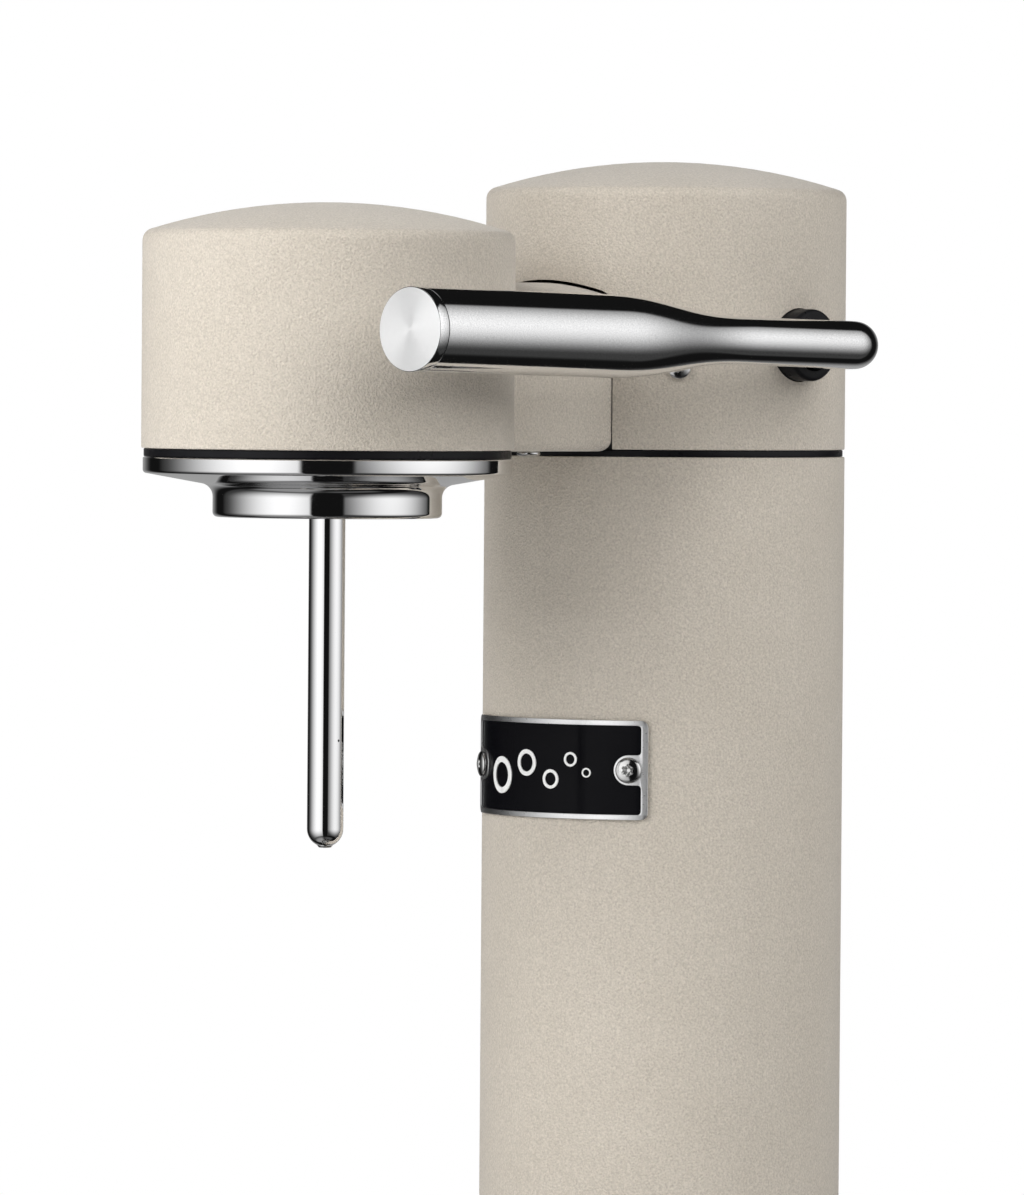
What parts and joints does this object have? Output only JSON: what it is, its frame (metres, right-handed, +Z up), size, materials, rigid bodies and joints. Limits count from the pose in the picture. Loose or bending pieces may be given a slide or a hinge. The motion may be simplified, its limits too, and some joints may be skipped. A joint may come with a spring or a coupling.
{
  "type": "soda carbonator",
  "caption": "Countertop soda carbonator: round column with a domed head on a short neck, side lever, bottle collar with a thin nozzle, drip tray and a gas cylinder inside.",
  "frame": {"origin": "on the ground under the nozzle, on the underside of the base pad", "axes": "+Z up; the front is -Y, the column stands at +Y and the lever is on the +X side"},
  "size_m": [0.1529, 0.2575, 0.414],
  "materials": {
    "sand_paint": "matte",
    "chrome": "polished",
    "satin_steel": "satin",
    "zinc": "matte",
    "aluminium": "satin",
    "brass": "satin",
    "black_plastic": "satin",
    "grey_plastic": "matte",
    "black_enamel": "gloss",
    "rubber": "matte"
  },
  "bodies": {
    "machine": {"base_pad": "rubber", "base_shell": "sand_paint", "base_screw_1": "satin_steel", "base_screw_2": "satin_steel", "base_screw_3": "satin_steel", "tower_tube": "sand_paint", "badge_plate": "black_enamel", "badge_screw_left": "satin_steel", "badge_screw_right": "satin_steel", "tower_foot_ring": "grey_plastic", "cylinder_guide": "grey_plastic", "tower_collar": "grey_plastic", "tower_gasket": "rubber", "valve_block": "zinc", "return_spring": "satin_steel", "cap_shell": "sand_paint", "cap_screw_left": "satin_steel", "cap_screw_right": "satin_steel", "head_shell": "sand_paint", "head_gasket": "rubber", "neck_cover": "sand_paint", "neck_screw_left": "satin_steel", "neck_screw_right": "satin_steel", "chassis": "zinc", "frame_screw_1": "satin_steel", "frame_screw_2": "satin_steel", "frame_screw_3": "satin_steel", "axle_bearing_left": "grey_plastic", "axle_bearing_right": "grey_plastic", "pivot_bush": "black_plastic", "mouth_collar": "chrome", "collar_screw_1": "satin_steel", "collar_screw_2": "satin_steel", "collar_screw_3": "satin_steel", "bottle_seal": "rubber", "manifold": "grey_plastic", "nozzle_tube": "chrome", "nozzle_tip": "satin_steel", "relief_body": "brass", "relief_spring": "satin_steel", "relief_cap": "brass", "hose_barb_rear": "brass", "hose_barb_front": "brass", "gas_hose": "rubber"},
    "lever_arm": {"lever": "satin_steel", "lever_end_cap": "chrome", "axle": "satin_steel", "cam": "zinc", "cam_pin": "satin_steel", "axle_clip": "satin_steel"},
    "pin_slider": {"valve_pin": "satin_steel"},
    "gas_bottle": {"gas_cylinder": "aluminium", "cylinder_valve": "brass"},
    "stem": {"valve_stem": "satin_steel"},
    "tray": {"drip_tray": "satin_steel"},
    "poppet": {"relief_poppet": "brass"}
  },
  "joints": [
    {"name": "lever_pull", "type": "hinge", "parent": "machine", "child": "lever_arm", "pos_m": [0, 0.12, 0.3685], "axis": [1, 0, 0], "range_deg": [0, 40], "stiffness_Nm_per_rad": 1.5, "springref_deg": -28.65},
    {"name": "pin_press", "type": "slide", "parent": "machine", "child": "pin_slider", "axis": [0, 0, -1], "range_m": [0, 0.0039], "deforming": ["return_spring"]},
    {"name": "cylinder_lowering", "type": "slide", "parent": "machine", "child": "gas_bottle", "axis": [0, 0, 1], "range_m": [-0.012, 0]},
    {"name": "stem_press", "type": "slide", "parent": "gas_bottle", "child": "stem", "axis": [0, 0, -1], "range_m": [0, 0.0039]},
    {"name": "tray_lift", "type": "slide", "parent": "machine", "child": "tray", "axis": [0, 0, 1], "range_m": [0, 0.06]},
    {"name": "relief_open", "type": "slide", "parent": "machine", "child": "poppet", "axis": [0, 0, 1], "range_m": [0, 0.0015], "stiffness_N_per_m": 3000, "springref_m": -0.002, "deforming": ["relief_spring"]}
  ],
  "couplings": [
    {"joint": "pin_press", "follows": "lever_pull", "m_per_rad": 0.005529},
    {"joint": "stem_press", "follows": "lever_pull", "m_per_rad": 0.005529}
  ]
}
